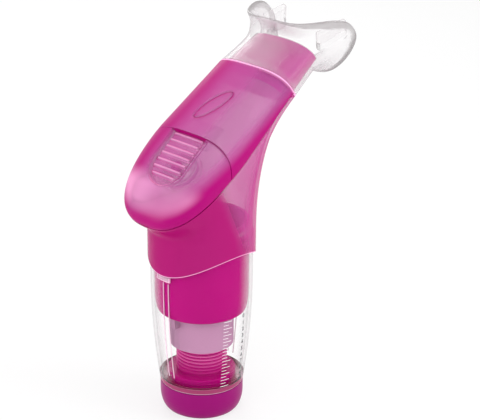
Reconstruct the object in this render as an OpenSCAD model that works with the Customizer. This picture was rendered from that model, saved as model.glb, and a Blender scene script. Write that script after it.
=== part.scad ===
// Hand-held breathing trainer: a tilted handle with an oval mouth spigot on a
// clear load unit. Millimetres, +Z up, origin at the middle of the base's
// resting face. The handle leans towards +X and its covers face -X.

/* [Load knob] */
// Height of the knob from the resting face to its top
knob_h = 14.3; // [12:0.1:20]
// Radius of the knob at its top
knob_r = 19.9; // [18.5:0.1:22]
// Radius of the flat resting face
foot_r = 15.8; // [13:0.1:18]
// Radius of the ring of air holes in the knob floor
inlet_ring_r = 5.6; // [4.6:0.1:6.4]
// Radius of one air hole
inlet_hole_r = 1.8; // [1:0.1:2.2]
// Number of air holes
inlet_holes = 6; // [4:1:6]

/* [Drive screw and nut] */
// Crest radius of the drive screw
screw_r = 12.2; // [11.5:0.1:12.6]
// Radius of the hollow in the drive screw
screw_bore_r = 9.6; // [9:0.1:10.2]
// Pitch of the load thread
thread_pitch = 1.75; // [1.5:0.05:1.8]
// Turns of the knob from lowest to highest load
load_turns = 7; // [4:1:7]
// Radius of the collar on the drive screw
collar_r = 16.2; // [15:0.1:16.6]
// Height of the collar on the drive screw
collar_h = 2.9; // [2:0.1:4]
// Outer radius of the tension nut
nut_r = 15.2; // [14.5:0.1:15.4]
// Height of the tension nut
nut_h = 17.7; // [16.5:0.1:18.5]
// Width of a guide key on the nut
key_w = 2.3; // [1.6:0.1:3]

/* [Clear sleeve] */
// Length of the clear sleeve
sleeve_h = 75.7; // [72:0.1:84]
// Outer radius of the sleeve at its top
sleeve_r = 24.1; // [24:0.1:25]
// Wall of the clear sleeve
sleeve_wall = 1.4; // [1:0.1:1.5]
// Length of the curved lower part of the sleeve
sleeve_curve_h = 53.7; // [48:0.1:60]

/* [Valve chamber] */
// Length of the valve chamber cup
cup_h = 45; // [44:0.1:50]
// Wall of the valve chamber cup
cup_wall = 1.5; // [1.2:0.1:2]
// Radius of the air passage in the valve seat
seat_r = 9; // [8:0.1:9.5]
// Lift of the inlet valve
valve_lift = 3; // [2:0.1:4]
// Radius of the valve stem
stem_r = 1.5; // [1.2:0.1:1.8]

/* [Load spring] */
// Radius to the middle of the spring wire
spring_r = 7; // [6.6:0.1:7.4]
// Thickness of the spring wire
wire_d = 1.1; // [0.8:0.1:1.3]
// Number of coils
spring_coils = 7; // [5:1:8]

/* [Body and handle] */
// Outer radius of the body skirt
skirt_r = 25.3; // [25.2:0.1:26.4]
// Rise and fall of the wavy skirt edge about its middle height
wave = 5; // [0:0.5:7]
// Wall of the body and its covers
shell_wall = 1.6; // [1.2:0.1:1.8]
// Lean of the handle from upright, in degrees
lean = 53.6; // [48:0.2:58]
// Rise of the seam plane above the body shoulder
handle_rise = 35.2; // [34:0.1:40]
// Length of the handle above the joint of its two covers
upper_len = 44.9; // [40:0.1:54]
// Length of the thumb end below the joint of its two covers
lower_len = 43.8; // [41:0.1:46]
// Half width of the handle at its thumb end
handle_w = 26.2; // [26:0.1:28]
// Half width of the handle at its mouth end
neck_w = 22.8; // [22:0.1:24.6]
// Depth of the covers in front of the seam at the thumb end
cover_f = 14.2; // [13:0.1:15]
// Depth of the covers in front of the seam at the mouth end
neck_f = 12.9; // [12.2:0.1:13.4]
// Depth of the neck behind the seam
neck_back = 5.2; // [5:0.1:7]
// Number of grip ribs in the thumb scoop
grip_ribs = 7; // [5:1:8]

/* [Mouth end] */
// Wall of the mouthpiece socket
mouth_wall = 1.9; // [1.5:0.1:2]
// Length of the mouthpiece socket
socket_len = 17.5; // [15:0.1:19]
// Half width of the lip shield
lip_w = 27.4; // [26:0.1:29]
// Rise of the lip shield above the seam plane
lip_rise = 21.5; // [19:0.1:23]
// Drop of the lip shield below the seam plane
lip_drop = 20; // [17:0.1:21]
// Sweep of the lip shield's ends towards the user
lip_bend = 18.6; // [14:0.1:20]
// Reach of a bite tab
bite_len = 9; // [7:0.1:11]

/* [Hidden] */

// Clearances: between pieces that move, in a running fit, between flat faces
gap = 0.3;
run_gap = 0.06;
face_gap = 0.1;
// Overrun of cuts
over = 1;
// Facets of a true circle
fine = 96;

// Heights of the load unit, from the resting face up
lip_t = 1.6;
washer_t = 0.8;
lip_z = knob_h + gap;
washer_z = lip_z + lip_t + face_gap;
collar_z = washer_z + washer_t + face_gap;
collar_top = collar_z + collar_h;
sleeve_top = lip_z + sleeve_h;
shoulder_lift = 2.7;
shoulder_z = sleeve_top + shoulder_lift;
rim_lift = 4;
cup_top = shoulder_z + rim_lift;
cup_z = cup_top - cup_h;
wave_drop = 10.3;
wave_z = sleeve_top - wave_drop;

// Knob
neck_r = 14;
floor_t = 3;
socket_z = 9;
cavity_clear = 1.2;
cavity_r = screw_bore_r + cavity_clear;
knob_round = 9;
knob_arc_n = 8;

// Load travel: the nut goes down as the knob turns
nut_travel = thread_pitch * load_turns;
nut_top = cup_z - gap;
nut_z = nut_top - nut_h;
web_t = 1.6;
plunger_clear = 0.7;
plunger_r = screw_bore_r - plunger_clear;
plunger_wall = 3.9;
plunger_bore_r = plunger_r - plunger_wall;
plunger_drop = 1;
plunger_z = nut_z - plunger_drop;
screw_top = nut_top - web_t - nut_travel - gap;
key_h = 6;
key_reach = 2.9;
rib_t = 0.9;
rib_in = nut_r + 1.2;
rib_foot = 0.6;
rib_rise = 18.7;

// Cup and inlet valve
sleeve_to_cup = 0.5;
cup_r = sleeve_r - sleeve_wall - sleeve_to_cup;
cup_taper = 1.6;
cup_round_h = 9.5;
web_drop = 21;
seat_web_z = cup_top - web_drop;
seat_web_t = 2;
seat_wall = 2.6;
seat_flange = 1.2;
seat_body_r = seat_r + seat_wall;
seat_lip = 1.5;
seat_top = seat_web_z + seat_web_t + seat_lip;
guide_r = 3.1;
guide_h = 8;
spoke_w = 1.6;
spokes = 3;
disc_t = 2;
disc_r = seat_r + 2;
boss_r = 4.2;
boss_h = 4;
seal_t = 0.9;
seal_band = 3.5;
plate_z = 6.4;
plate_t = 1.4;
plate_clear = 0.8;
plate_r = screw_bore_r - plate_clear;
plate_hole_r = 1.3;
plate_ring_r = 4.1;
clip_t = 0.8;
clip_r = 3.3;
clip_groove = 0.4;
stop_t = 1.5;
stop_w = 0.8;
stem_end = floor_t + 2 * gap;
ring_seal_r = 0.95;
bore_r = skirt_r - shell_wall;
skirt_clear = 0.35;
skirt_in = sleeve_r + skirt_clear;

// Spring
spring_z = plate_z + plate_t + face_gap;
spring_len = plunger_z - face_gap - spring_z;
curl_rings = 8;
wire_sides = 6;

// Handle frame: s runs up the handle, v stands out of the seam plane
seam_front = 0.4;
seam_z = shoulder_z + handle_rise;
cap_s = 1.8;
cap_len = lower_len + cap_s;
cap_pow = 2.8;
shell_pow = 3.1;
cover_joint = 0.6;
joint_drop = 8.4;
vent_gap = 0.6;
cap_rows = 9;
cap_end = 84;
side_shares = [1, 0.998, 0.985, 0.94, 0.86, 0.74, 0.6, 0.5, 0.435, 0.4, 0.365, 0.24, 0.12];

// Thumb scoop and its tongue under the upper cover
scoop_w = 10.5;
scoop_edge = 1.4;
scoop_depth = 1.9;
scoop_s = -16.4;
scoop_fade = 32;
rib_h = 0.6;
rib_pitch = 3.5;
rib_row_shares = [0, 0.3, 0.6, 0.8];
rib_share = 0.365;
cover_rows = 5;
tongue_len = 13;
tongue_w = 11.4;
tongue_t = 1.2;

// Mouth end: each ring has a half width, a rise above the seam plane and a drop
// below it
oval_pow = 2.5;
oval_n = 48;
spigot_len = 21;
spigot_clear = 0.15;
spigot_wall = 1.5;
tip_w = 19.3;
tip_rise = 8.6;
tip_drop = 4.5;
plug_t = 2.6;
plug_in = 5.3;
plug_s = upper_len - plug_in;
shield_lift = 23.6;
shield_s = upper_len + shield_lift;
shield_pow = 3.9;
shield_tilt = 7;
shield_t = 0.85;
lip_bead = 0.8;
// Rows of the flare: share of its growth, of its length, of the sweep, and side
flare_out_shares = [[0, 0, 0, 0], [0.17, 0.45, 0.25, 0], [0.55, 0.85, 0.75, -0.5]];
flare_in_shares = [[0.6, 1, 1, 1], [0.15, 1, 0.8, 1], [0, 0.6, 0.2, 0], [0, 0, 0, 0]];

// Inner front wall
joint_gap = 0.3;
front_wall = 1.4;
front_tuck = 0.3;
front_in = shell_wall + joint_gap;
front_end = plug_s - face_gap;
deck_v = 2.5;
deck_from = 2;
deck_to = 32;
front_rows = 10;

// Outlet valve under the thumb cover
outlet_s = -14;
outlet_v = 4.6;
outlet_r = 8.6;
outlet_rim = 1.8;
outlet_t = 2;
flap_t = 0.8;
flap_lift = 1.5;
flap_r = outlet_r - 0.4;
pin_r = 1.2;
head_r = 2.6;
head_t = 1;

// Body wall
body_n = 48;
back_angle = 27;
straight_share = 0.5;
patch_rows = 7;
bend_share = 0.325;
back_bend = 1.18;
turn_from = 26;
turn_span = 90;
turn_in = 0.66;

function s_of(a, p) = sign(sin(a)) * pow(abs(sin(a)), 2 / p);
function c_of(a, p) = sign(cos(a)) * pow(abs(cos(a)), 2 / p);
function mix(a, b, t) = a + (b - a) * t;
function smooth(t) = let (k = min(max(t, 0), 1)) k * k * (3 - 2 * k);

// A point of the handle frame in the part's own frame
function handle_pt(s, y, v) = [
    s * sin(lean) - v * cos(lean) + seam_front,
    y,
    s * cos(lean) + v * sin(lean) + seam_z];
up_dir = [sin(lean), 0, cos(lean)];
out_dir = [-cos(lean), 0, sin(lean)];

// Half width and depth of the covers at s, drawn in by e
function cap_x(s, e) = min((cap_s - s) / (cap_len - e), 1);
function side_w(s, e) = s > cap_s
    ? mix(handle_w, neck_w, (s - cap_s) / (upper_len - cap_s)) - e
    : (handle_w - e) * pow(1 - pow(cap_x(s, e), cap_pow), 1 / cap_pow);
function front_f(s, f, e) = s > cap_s ? f - e
    : (f - e) * sqrt(1 - pow(cap_x(s, e), 2));
function cover_depth(s) = mix(cover_f, neck_f, max((s - cap_s) / (upper_len - cap_s), 0));

// Shares of the half width across a cover, from one seam to the other
across = concat(side_shares, [0], [for (i = [len(side_shares) - 1:-1:0]) -side_shares[i]]);
function arch(q) = pow(1 - pow(abs(q), shell_pow), 1 / shell_pow);
function seam_drop(q) = joint_drop * (1 - arch(q));
function cover_row(s, e, v0, rib, bend) = [for (q = across)
    let (t = s - bend * seam_drop(q), w = side_w(t, e), f = front_f(t, cover_depth(t), e))
    handle_pt(t, q * w, v0 + (f - v0) * arch(q) - dip(s, q * w) + (abs(q) <= rib_share ? rib : 0))];

// Thumb scoop: a U-shaped hollow that runs off the upper end of the cover
function dip(s, y) = s > cover_joint ? 0 : let (
    d = s > scoop_s ? abs(y) : norm([y, s - scoop_s]))
    scoop_depth * smooth((scoop_w + scoop_edge / 2 - d) / scoop_edge);

module color_shell() { color([0.80, 0.44, 0.67]) children(); }
module color_body() { color([0.86, 0.55, 0.73]) children(); }
module color_deep() { color([0.72, 0.04, 0.46]) children(); }
module color_knob() { color([0.63, 0.09, 0.45]) children(); }
module color_frost() { color([0.80, 0.60, 0.72]) children(); }
module color_clear() { color([0.92, 0.93, 0.92]) children(); }
module color_rubber() { color([0.86, 0.86, 0.84]) children(); }
module color_steel() { color([0.70, 0.71, 0.73]) children(); }

// Closed surface whose last ring of points joins the first again
module loop_skin(rows) {
    n = len(rows[0]);
    m = len(rows);
    polyhedron([for (r = rows, p = r) p], [for (i = [0:m - 1], j = [0:n - 1])
        let (k = (i + 1) % m, a = i * n + j, b = i * n + (j + 1) % n,
             c = k * n + (j + 1) % n, d = k * n + j)
        each [[a, c, b], [a, d, c]]]);
}

// Closed surface from rings of points, with a flat face at each end
module capped_skin(rows) {
    n = len(rows[0]);
    m = len(rows);
    polyhedron([for (r = rows, p = r) p], concat(
        [for (i = [0:m - 2], j = [0:n - 1]) let (a = i * n + j, b = i * n + (j + 1) % n)
            each [[a, a + n, b + n], [a, b + n, b]]],
        [for (j = [0:n / 2 - 2]) let (k = n - 1 - j)
            each [[j, j + 1, k - 1], [j, k - 1, k]]],
        [for (j = [0:n / 2 - 2]) let (o = (m - 1) * n, k = n - 1 - j)
            each [[o + j, o + k - 1, o + j + 1], [o + j, o + k, o + k - 1]]]));
}

// Wall between two open sheets of points whose first rows close over a tip
module tip_skin(outer, inner) {
    n = len(outer[0]);
    m = len(outer);
    o = m * n;
    skins = [for (i = [0:m - 2], j = [0:n - 2]) let (a = i * n + j)
        each [[a, a + n + 1, a + 1], [a, a + n, a + n + 1],
              [o + a, o + a + 1, o + a + n + 1], [o + a, o + a + n + 1, o + a + n]]];
    end = [for (j = [0:n - 2]) let (b = (m - 1) * n + j)
        each [[b, o + b + 1, b + 1], [b, o + b, o + b + 1]]];
    edges = [for (i = [0:m - 2]) let (a = i * n, b = i * n + n - 1)
        each [[a, o + a + n, a + n], [a, o + a, o + a + n],
              [b, o + b + n, o + b], [b, b + n, o + b + n]]];
    tip = [[for (j = [0:n - 1]) j], [for (j = [n - 1:-1:0]) o + j],
           [0, n - 1, o + n - 1, o]];
    polyhedron(concat([for (r = outer, p = r) p], [for (r = inner, p = r) p]),
        concat(skins, end, edges, tip));
}

module tube(r_out, r_in, h) {
    difference() {
        cylinder(r = r_out, h = h, $fn = fine);
        translate([0, 0, -over]) cylinder(r = r_in, h = h + 2 * over, $fn = fine);
    }
}

module ring_of_holes(count, ring_r, hole_r, z, h) {
    for (i = [0:count - 1])
        rotate([0, 0, i * 360 / count])
        translate([ring_r, 0, z - over])
        cylinder(r = hole_r, h = h + 2 * over, $fn = 24);
}

// Pieces that turn with the knob

module base_knob() {
    side = [for (i = [0:knob_arc_n]) let (a = 90 * i / knob_arc_n)
        [mix(foot_r, knob_r, sin(a)), knob_round * (1 - cos(a))]];
    color_knob() difference() {
        rotate_extrude($fn = fine)
        polygon(concat([[0, 0]], side,
            [[knob_r, knob_h], [neck_r + run_gap, knob_h],
            [neck_r + run_gap, socket_z], [cavity_r, socket_z],
            [cavity_r, floor_t], [0, floor_t]]));
        ring_of_holes(inlet_holes, inlet_ring_r, inlet_hole_r, 0, floor_t);
    }
}

module drive_screw() {
    color_deep() rotate_extrude($fn = fine)
    polygon([[screw_bore_r, socket_z + face_gap], [neck_r, socket_z + face_gap],
        [neck_r, collar_z], [collar_r, collar_z], [collar_r, collar_top],
        [screw_r, collar_top], [screw_r, screw_top], [screw_bore_r, screw_top]]);
}

module glide_washer() {
    color_rubber() translate([0, 0, washer_z]) tube(collar_r, neck_r + run_gap, washer_t);
}

// The clear sleeve swells upward along a quarter of a parabola

sleeve_arc_n = 12;
function sleeve_at(z) = let (t = min(max((z - lip_z) / sleeve_curve_h, 0), 1))
    mix(knob_r, sleeve_r, 1 - pow(1 - t, 2));
sleeve_heights = concat([for (i = [0:sleeve_arc_n]) lip_z + sleeve_curve_h * i / sleeve_arc_n],
    [sleeve_top]);
lug_h = 2.6;
lug_t = 0.5;
lug_angle = 20;
lug_z = wave_z - wave - lug_h - gap;
module guide_rib(z0, z1, r_in) {
    rotate([90, 0, 0])
    linear_extrude(rib_t, center = true)
    polygon(concat([[r_in, z1], [r_in, z0]],
        [for (i = [0:6]) let (z = mix(z0, z1, i / 6)) [sleeve_at(z) - sleeve_wall / 2, z]]));
}
module calibrator_sleeve() {
    rib_y = key_w / 2 + gap + rib_t / 2;
    color_clear() union() {
        rotate_extrude($fn = fine)
        polygon(concat([for (z = sleeve_heights) [sleeve_at(z), z]],
            [for (i = [len(sleeve_heights) - 1:-1:1]) let (z = sleeve_heights[i])
                [sleeve_at(z) - sleeve_wall, z]],
            [[sleeve_at(lip_z + lip_t) - sleeve_wall, lip_z + lip_t],
            [neck_r + run_gap, lip_z + lip_t], [neck_r + run_gap, lip_z]]));
        for (turn = [0, 180], side = [-1, 1])
            rotate([0, 0, turn])
            translate([0, side * rib_y, 0]) {
                guide_rib(collar_top + rib_foot, nut_top, rib_in);
                guide_rib(nut_top - rib_t, nut_top + rib_rise, cup_r + 2 * face_gap);
            }
        rotate([0, 0, 180 - lug_angle / 2])
        translate([0, 0, lug_z])
        rotate_extrude(angle = lug_angle, $fn = fine)
        translate([sleeve_at(lug_z) - lug_t, 0]) square([2 * lug_t, lug_h]);
    }
}

module tension_nut() {
    color_frost() union() {
        rotate_extrude($fn = fine)
        polygon([[screw_r + run_gap, nut_z], [nut_r, nut_z], [nut_r, nut_top],
            [plunger_bore_r, nut_top], [plunger_bore_r, plunger_z],
            [plunger_r, plunger_z], [plunger_r, nut_top - web_t],
            [screw_r + run_gap, nut_top - web_t]]);
        for (turn = [0, 180])
            rotate([0, 0, turn])
            translate([nut_r - over, -key_w / 2, nut_top - key_h])
            cube([key_reach + over, key_w, key_h]);
    }
}

// Valve chamber cup, with the inlet valve on its web

module valve_chamber() {
    arc_n = 6;
    groove_z = shoulder_z;
    side = [for (i = [0:arc_n]) let (a = 90 * i / arc_n)
        [cup_r - cup_taper * (1 - sin(a)), cup_z + cup_round_h * (1 - cos(a))]];
    color_deep() rotate_extrude($fn = fine)
    polygon(concat(side, [[cup_r, groove_z],
        [cup_r - ring_seal_r / 2, groove_z], [cup_r - ring_seal_r / 2, groove_z + 2 * ring_seal_r],
        [cup_r, groove_z + 2 * ring_seal_r], [cup_r, cup_top], [cup_r - cup_wall, cup_top],
        [cup_r - cup_wall, seat_web_z + seat_web_t],
        [seat_body_r + run_gap, seat_web_z + seat_web_t], [seat_body_r + run_gap, seat_web_z],
        [cup_r - cup_wall, seat_web_z], [cup_r - cup_wall, cup_z + cup_round_h],
        [cup_r - cup_taper - cup_wall, cup_z]]));
}

module chamber_seal() {
    color_rubber() translate([0, 0, shoulder_z + ring_seal_r])
    rotate_extrude($fn = fine)
    translate([bore_r - ring_seal_r - face_gap, 0]) circle(r = ring_seal_r - face_gap / 2, $fn = 24);
}

module valve_seat() {
    color_clear() union() {
        rotate_extrude($fn = fine)
        polygon([[seat_r, seat_web_z], [seat_body_r, seat_web_z],
            [seat_body_r, seat_web_z + seat_web_t + face_gap],
            [seat_body_r + seat_flange, seat_web_z + seat_web_t + face_gap],
            [seat_body_r + seat_flange, seat_top - face_gap - seat_lip / 2],
            [seat_r + seat_lip, seat_top - seat_lip / 2], [seat_r + seat_lip / 2, seat_top],
            [seat_r, seat_top]]);
        translate([0, 0, seat_top - seat_lip - guide_h])
        tube(guide_r, stem_r + run_gap, guide_h);
        for (i = [0:spokes - 1])
            rotate([0, 0, i * 360 / spokes])
            translate([guide_r - spoke_w / 2, -spoke_w / 2, seat_web_z])
            cube([seat_r - guide_r + spoke_w, spoke_w, seat_web_t]);
    }
}

seal_z = seat_top + face_gap;
disc_z = seal_z + seal_t;
module poppet() {
    color_deep() rotate_extrude($fn = fine)
    polygon([[stem_r + face_gap / 2, disc_z], [disc_r, disc_z], [disc_r, disc_z + disc_t / 2],
        [disc_r - disc_t / 2, disc_z + disc_t], [boss_r, disc_z + disc_t],
        [boss_r - stem_r, disc_z + disc_t + boss_h], [0, disc_z + disc_t + boss_h],
        [0, disc_z + boss_h], [stem_r + face_gap / 2, disc_z + boss_h]]);
}

module poppet_seal() {
    color_rubber() translate([0, 0, seal_z]) tube(disc_r, disc_r - seal_band - seal_t, seal_t - face_gap / 2);
}

clip_z = plate_z - face_gap - clip_t;
stop_z = seat_top - seat_lip - guide_h - gap - valve_lift;
module valve_stem() {
    color_steel() rotate_extrude($fn = 48)
    polygon([[0, stem_end], [stem_r, stem_end], [stem_r, clip_z - face_gap],
        [stem_r - clip_groove, clip_z - face_gap], [stem_r - clip_groove, plate_z],
        [stem_r, plate_z], [stem_r, stop_z - stop_t], [stem_r + stop_w, stop_z - stop_t],
        [stem_r + stop_w, stop_z], [stem_r, stop_z],
        [stem_r, disc_z + boss_h - face_gap], [0, disc_z + boss_h - face_gap]]);
}

module spring_plate() {
    color_steel() difference() {
        translate([0, 0, plate_z]) tube(plate_r, stem_r + face_gap / 2, plate_t);
        ring_of_holes(inlet_holes, plate_ring_r, plate_hole_r, plate_z, plate_t);
    }
}

module stem_clip() {
    color_steel() translate([0, 0, clip_z]) difference() {
        tube(clip_r, stem_r - clip_groove + face_gap / 2, clip_t);
        translate([0, -stem_r / 2, -over]) cube([clip_r + over, stem_r, clip_t + 2 * over]);
    }
}

// Load spring: one unbroken helical wire between the plate and the nut

wire_r = wire_d / 2;
coil_pitch = (spring_len - wire_d) / spring_coils;
echo(least_gap_in_spring = coil_pitch * cos(atan(coil_pitch / (2 * PI * spring_r))) - wire_d);
module load_spring() {
    rings = curl_rings * spring_coils;
    climb = atan(coil_pitch / (2 * PI * spring_r));
    pts = [for (i = [0:rings], k = [0:wire_sides - 1]) let (
        a = 360 * i / curl_rings, b = 360 * k / wire_sides,
        out = wire_r * cos(b), up = wire_r * sin(b),
        r = spring_r + out, back = -up * sin(climb),
        z = spring_z + wire_r + coil_pitch * i / curl_rings)
        [r * cos(a) - back * sin(a), r * sin(a) + back * cos(a), z + up * cos(climb)]];
    n = wire_sides;
    color_steel() polyhedron(pts, concat(
        [[for (k = [n - 1:-1:0]) k], [for (k = [0:n - 1]) rings * n + k]],
        [for (i = [0:rings - 1], k = [0:n - 1]) let (a = i * n + k, b = i * n + (k + 1) % n)
            each [[a, b + n, a + n], [a, b, b + n]]]));
}

// Body shell: a wavy skirt that grows into the back of the handle. Each of its
// meridians climbs from the skirt to the seam outline, or to the neck behind.

function edge_z(a) = wave_z - wave * cos(2 * a);
function seam_pt(a, e) = let (b = abs(a)) b < back_angle
    ? let (k = 90 * b / back_angle)
      handle_pt(upper_len, sign(a) * (neck_w - e) * s_of(k, shell_pow),
          -(neck_back - e) * c_of(k, shell_pow))
    : let (g = (b - back_angle) / (180 - back_angle)) g < straight_share
    ? let (s = mix(upper_len, cap_s, g / straight_share)) handle_pt(s, sign(a) * side_w(s, e), 0)
    : let (k = 90 * (g - straight_share) / (1 - straight_share))
      handle_pt(cap_s - (cap_len - e) * s_of(k, cap_pow),
          sign(a) * (handle_w - e) * c_of(k, cap_pow), 0);
function turned(a) = smooth((abs(a) - turn_from) / turn_span);
function arrive(a) = up_dir * cos(90 * turned(a)) + out_dir * sin(90 * turned(a));
function climb_pt(a, e, t) = let (
    p0 = [(skirt_r - e) * cos(a), (skirt_r - e) * sin(a), shoulder_z],
    p3 = seam_pt(a, e),
    reach = bend_share * norm(p3 - p0),
    p1 = p0 + [0, 0, reach * mix(back_bend, 1, turned(a))],
    p2 = p3 - reach * mix(1, turn_in, turned(a)) * arrive(a),
    u = 1 - t)
    p0 * u * u * u + p1 * 3 * u * u * t + p2 * 3 * u * t * t + p3 * t * t * t;
module body_shell() {
    turn = [for (j = [0:body_n - 1]) 360 * (j + 0.5) / body_n - 180];
    step_z = sleeve_top + gap;
    outer = [for (i = [0:patch_rows]) [for (a = turn) climb_pt(a, 0, i / patch_rows)]];
    inner = [for (i = [patch_rows:-1:0]) [for (a = turn) climb_pt(a, shell_wall, i / patch_rows)]];
    foot = [
        [for (a = turn) [bore_r * cos(a), bore_r * sin(a), step_z]],
        [for (a = turn) [skirt_in * cos(a), skirt_in * sin(a), step_z]],
        [for (a = turn) [skirt_in * cos(a), skirt_in * sin(a), edge_z(a)]],
        [for (a = turn) [skirt_r * cos(a), skirt_r * sin(a), edge_z(a)]]];
    color_body() loop_skin(concat(outer, inner, foot));
}

// Front wall of the airway, under the covers, with the outlet valve's seat

function front_v(s) = mix(deck_v, cover_depth(s) - front_in,
    smooth((s - deck_from) / (deck_to - deck_from)));
function front_row(s, e) = let (w = side_w(s, front_in + e), v = front_f(s, front_v(s) + front_in, front_in + e))
    [for (q = across) handle_pt(s, q * w, -front_tuck + (v + front_tuck) * arch(q))];
function cap_rows_from(e) = [for (i = [0:cap_rows]) let (k = cap_end * (1 - i / cap_rows))
    cap_s - (cap_len - e) * sin(k)];
module on_deck(v) {
    translate(handle_pt(outlet_s, 0, v)) rotate([0, lean - 90, 0]) children();
}
module airway_front() {
    rise = [for (i = [1:front_rows]) mix(cap_s, front_end, i / front_rows)];
    color_shell() difference() {
        union() {
            tip_skin([for (s = concat(cap_rows_from(front_in), rise)) front_row(s, 0)],
                [for (s = concat(cap_rows_from(front_in + front_wall), rise)) front_row(s, front_wall)]);
            on_deck(outlet_v - outlet_t - front_wall - deck_v / 2)
            cylinder(r = outlet_r + outlet_rim, h = outlet_t + front_wall + deck_v / 2, $fn = 48);
        }
        on_deck(outlet_v - outlet_t)
        cylinder(r = outlet_r + face_gap, h = outlet_t + over, $fn = 48);
        on_deck(outlet_v - outlet_t - front_wall - deck_v)
        cylinder(r = outlet_r - outlet_rim / 2, h = deck_v + outlet_t + front_wall, $fn = 48);
    }
}

// Outlet valve: a ported seat, a soft flap and the button that holds it

module outlet_seat() {
    color_clear() on_deck(outlet_v - outlet_t + face_gap / 2) {
        tube(outlet_r, outlet_r - outlet_rim, outlet_t);
        tube(head_r, pin_r + face_gap / 2, outlet_t);
        for (i = [0:3])
            rotate([0, 0, 45 + i * 90])
            translate([head_r - pin_r / 2, -spoke_w / 2, 0])
            cube([outlet_r - outlet_rim - head_r + pin_r, spoke_w, outlet_t]);
    }
}

flap_v = outlet_v + face_gap;
module outlet_flap() {
    color_rubber() on_deck(flap_v) tube(flap_r, pin_r + gap, flap_t);
}

module flap_button() {
    color_deep() on_deck(outlet_v - outlet_t - head_t) {
        cylinder(r1 = pin_r, r2 = head_r - pin_r / 2, h = head_t, $fn = 48);
        cylinder(r = pin_r, h = outlet_t + head_t + 2 * face_gap + flap_t + flap_lift + head_t / 2, $fn = 48);
        translate([0, 0, outlet_t + head_t + 2 * face_gap + flap_t + flap_lift])
        cylinder(r = head_r, h = head_t, $fn = 48);
    }
}

// Covers

function reversed(list) = [for (j = [len(list) - 1:-1:0]) list[j]];
module handle_cover() {
    rows = [for (i = [0:cover_rows]) [mix(cover_joint + gap, upper_len, i / cover_rows), 1 - i / cover_rows]];
    color_shell() capped_skin([for (r = rows)
        concat(cover_row(r[0], 0, gap, 0, r[1]), reversed(cover_row(r[0], shell_wall, gap, 0, r[1])))]);
}

function fade(s) = max(1 - (cover_joint - s) / scoop_fade, 0);
module thumb_cover() {
    low = scoop_s - scoop_w;
    low_end = asin((cap_s - low) / cap_len);
    cap = [for (i = [0:cap_rows - 2]) mix(cap_end, low_end, i / (cap_rows - 1))];
    ribs = [for (i = [grip_ribs - 1:-1:0], k = [3:-1:0])
        [cover_joint - rib_pitch * (i + rib_row_shares[k]), k == 1 || k == 2 ? rib_h : 0]];
    color_shell() tip_skin(
        concat([for (k = cap) cover_row(cap_s - cap_len * sin(k), 0, vent_gap, 0, 0)],
            [for (r = ribs) cover_row(r[0], 0, vent_gap, r[1], fade(r[0]))]),
        concat([for (k = cap) cover_row(cap_s - (cap_len - shell_wall) * sin(k),
            shell_wall, vent_gap, 0, 0)],
            [for (r = ribs) cover_row(r[0], shell_wall, vent_gap, r[1], fade(r[0]))]));
}

// Tongue under the scoop's floor that slips in below the upper cover

module cover_tongue() {
    color_shell() translate(handle_pt(cover_joint - rib_pitch, 0,
        cover_f - scoop_depth - shell_wall - gap))
    rotate([0, lean - 90, 0])
    translate([0, -tongue_w, -tongue_t])
    cube([tongue_len, 2 * tongue_w, tongue_t]);
}

// Mouth end

function ring_at(w, rise, drop, s, p) = [for (j = [0:oval_n - 1]) let (a = 360 * (j + 0.5) / oval_n)
    handle_pt(s, w * c_of(a, p), (a < 180 ? rise : drop) * s_of(a, p))];
module mouth_spigot() {
    side = neck_w - shell_wall - joint_gap;
    front = neck_f - front_in - face_gap;
    back = neck_back - shell_wall - joint_gap;
    w = neck_w - mouth_wall - spigot_clear;
    rise = neck_f - mouth_wall - spigot_clear;
    drop = neck_back - mouth_wall - spigot_clear;
    top = plug_s + plug_t;
    tip_s = upper_len + spigot_len;
    t = spigot_wall;
    color_body() loop_skin([
        ring_at(side, front, back, plug_s, shell_pow),
        ring_at(side, front, back, top, shell_pow),
        ring_at(w, rise, drop, top, shell_pow),
        ring_at(w, rise, drop, upper_len, shell_pow),
        ring_at(tip_w, tip_rise, tip_drop, tip_s, oval_pow),
        ring_at(tip_w - t, tip_rise - t, tip_drop - t, tip_s, oval_pow),
        ring_at(w - t, rise - t, drop - t, upper_len, shell_pow),
        ring_at(w - t, rise - t, drop - t, plug_s, shell_pow)]);
}

// Mouthpiece: an oval socket over the spigot that opens into a lip shield.
// A row is half width, rise, drop and distance up the handle, then its share of
// the shield's sweep and its side of the shield's thickness.

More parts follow.
